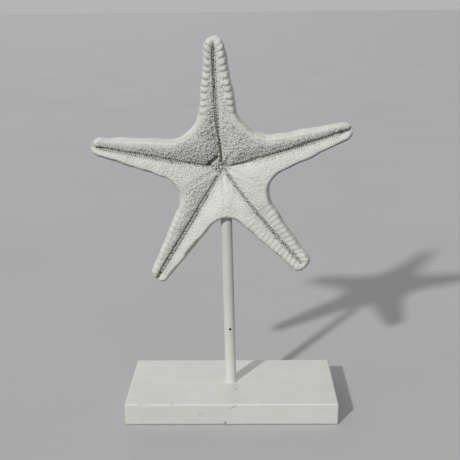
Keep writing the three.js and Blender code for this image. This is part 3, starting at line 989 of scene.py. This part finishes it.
meshes = [rim_band()]
seeds = [slot_spines(), mouth_pegs(), groove_spines(), granules(FRONT_GRANULES, FIRST_FRONT_GRANULE, PANELS)]
meshes.append(skin_net(np.concatenate(seeds), FRONT_GRANULES["least"], skin[:, FRONT_RING], FRONT_CUTS, True))
seeds = granules(BACK_GRANULES, FIRST_BACK_GRANULE, [BACK_PANEL] * len(ARMS))
meshes.append(skin_net(seeds, BACK_GRANULES["least"], skin[:, BACK_RING], BACK_CUTS, False))
points, faces, dirt_and_painted_shade = [], [], []
for part_points, part_faces, part_dirt_and_painted_shade in meshes:
    before = sum(len(part) for part in points)
    points.append(part_points)
    faces += [[before + corner for corner in face] for face in part_faces]
    dirt_and_painted_shade.append(part_dirt_and_painted_shade)
star_paint = white_paint(
    "star_paint", white=(0.865, 0.865, 0.824), shade=(0.81, 0.81, 0.766), dirt_and_painted_shade=(0.15, 0.13, 0.105), patch=9,
    grain=0.7, stretch=(1, 1, 1), relief=0.08, smoothest=0.8, roughest=0.95, gloss=0.25)
star_body = mesh_piece("star_body", np.concatenate(points), faces, star_paint, np.concatenate(dirt_and_painted_shade))
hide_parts("starfish")
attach(star_body, "root")

# Floor: a plain pale ground of matte paper under the base, so wide that its edges aren't seen.
# It is no part of the object and throws no light back at it. Its size is in metres.
FLOOR_SIZE = 300.0
floor_mesh = bpy.data.meshes.new("floor")
half = FLOOR_SIZE / 2
floor_corners = [(-half, -half, 0), (half, -half, 0), (half, half, 0), (-half, half, 0)]
floor_mesh.from_pydata(floor_corners, [], [(0, 1, 2, 3)])
floor_mesh.materials.append(white_paint(
    "floor_paper", white=(0.62, 0.62, 0.625), shade=(0.6, 0.6, 0.605), dirt_and_painted_shade=(0.5, 0.5, 0.5), patch=300,
    grain=2, stretch=(1, 1, 1), relief=0.02, smoothest=0.8, roughest=0.9, gloss=0.2))
floor = bpy.data.objects.new("floor", floor_mesh)
floor.visible_diffuse = False
bpy.context.scene.collection.objects.link(floor)

# Light: one key from the upper left in front, a weak fill from the right, a soft one from behind and a pale
# surround that is brightest at the horizon.
# Each lamp: degrees round to the left from the front, degrees up, strength and spread
LAMPS = dict(key=(32, 30, 1.8, 3), fill=(-60, 20, 0.06, 40), back=(165, 12, 0.5, 40))
# Brightness of the surround by height, from straight below over the horizon to straight above
SURROUND = ((0.0, 0.0), (0.46, 0.16), (0.497, 0.46), (0.51, 0.46), (0.6, 0.32), (1.0, 0.31))


def lamp(name, to_left, rise, strength, spread):
    """A far lamp, turned to the left from the front and raised by the given degrees."""
    light = bpy.data.lights.new(name, "SUN")
    light.energy = strength
    light.angle = math.radians(spread)
    holder = bpy.data.objects.new(name, light)
    left, up = math.radians(to_left), math.radians(rise)
    towards = Vector((-math.sin(left) * math.cos(up), -math.cos(left) * math.cos(up), math.sin(up)))
    holder.rotation_mode = "QUATERNION"
    holder.rotation_quaternion = towards.to_track_quat("Z", "Y")
    bpy.context.scene.collection.objects.link(holder)


for name, settings in LAMPS.items():
    lamp(name, *settings)
world = bpy.data.worlds.new("surround")
world.use_nodes = True
sky = world.node_tree
direction = add_node(sky, "ShaderNodeTexCoord", {}).outputs["Generated"]
rise = add_node(sky, "ShaderNodeSeparateXYZ", {"Vector": direction}).outputs["Z"]
shades = add_node(sky, "ShaderNodeValToRGB", {"Fac": ranged(sky, rise, -1, 1, 0, 1)})
stops = shades.color_ramp.elements
for position, brightness in SURROUND[1:-1]:
    stops.new(position)
for stop, (position, brightness) in zip(stops, SURROUND):
    stop.position = position
    stop.color = (brightness, brightness, brightness, 1)
sky.links.new(shades.outputs["Color"], sky.nodes["Background"].inputs["Color"])
bpy.context.scene.world = world
bpy.context.scene.view_settings.view_transform = "Standard"

# Camera: at the height and angle from which the star is seen, a little above it and looking slightly down.
# Its place is in millimetres, and its focal length is given in pixels of a square picture.
CAMERA_PLACE = (12.3, -656.4, 334.6)
CAMERA_YAW, CAMERA_PITCH, CAMERA_ROLL = (math.radians(turn) for turn in (-1.11, 15.16, 0.64))
IMAGE_SIDE = 460
FOCAL_PIXELS = 811.8
SENSOR_WIDTH = 36.0

view = bpy.data.cameras.new("camera")
view.sensor_width = SENSOR_WIDTH
view.lens = SENSOR_WIDTH * FOCAL_PIXELS / IMAGE_SIDE
camera = bpy.data.objects.new("camera", view)
level = math.cos(CAMERA_PITCH)
forward = Vector((math.sin(CAMERA_YAW) * level, math.cos(CAMERA_YAW) * level, -math.sin(CAMERA_PITCH)))
right = Vector((math.cos(CAMERA_YAW), -math.sin(CAMERA_YAW), 0))
down = forward.cross(right)
right, down = (math.cos(CAMERA_ROLL) * right + math.sin(CAMERA_ROLL) * down,
               math.cos(CAMERA_ROLL) * down - math.sin(CAMERA_ROLL) * right)
camera.matrix_world = Matrix.Translation(Vector(CAMERA_PLACE) * MM) @ Matrix(
    (right, -down, -forward)).transposed().to_4x4()
bpy.context.scene.collection.objects.link(camera)
bpy.context.scene.camera = camera
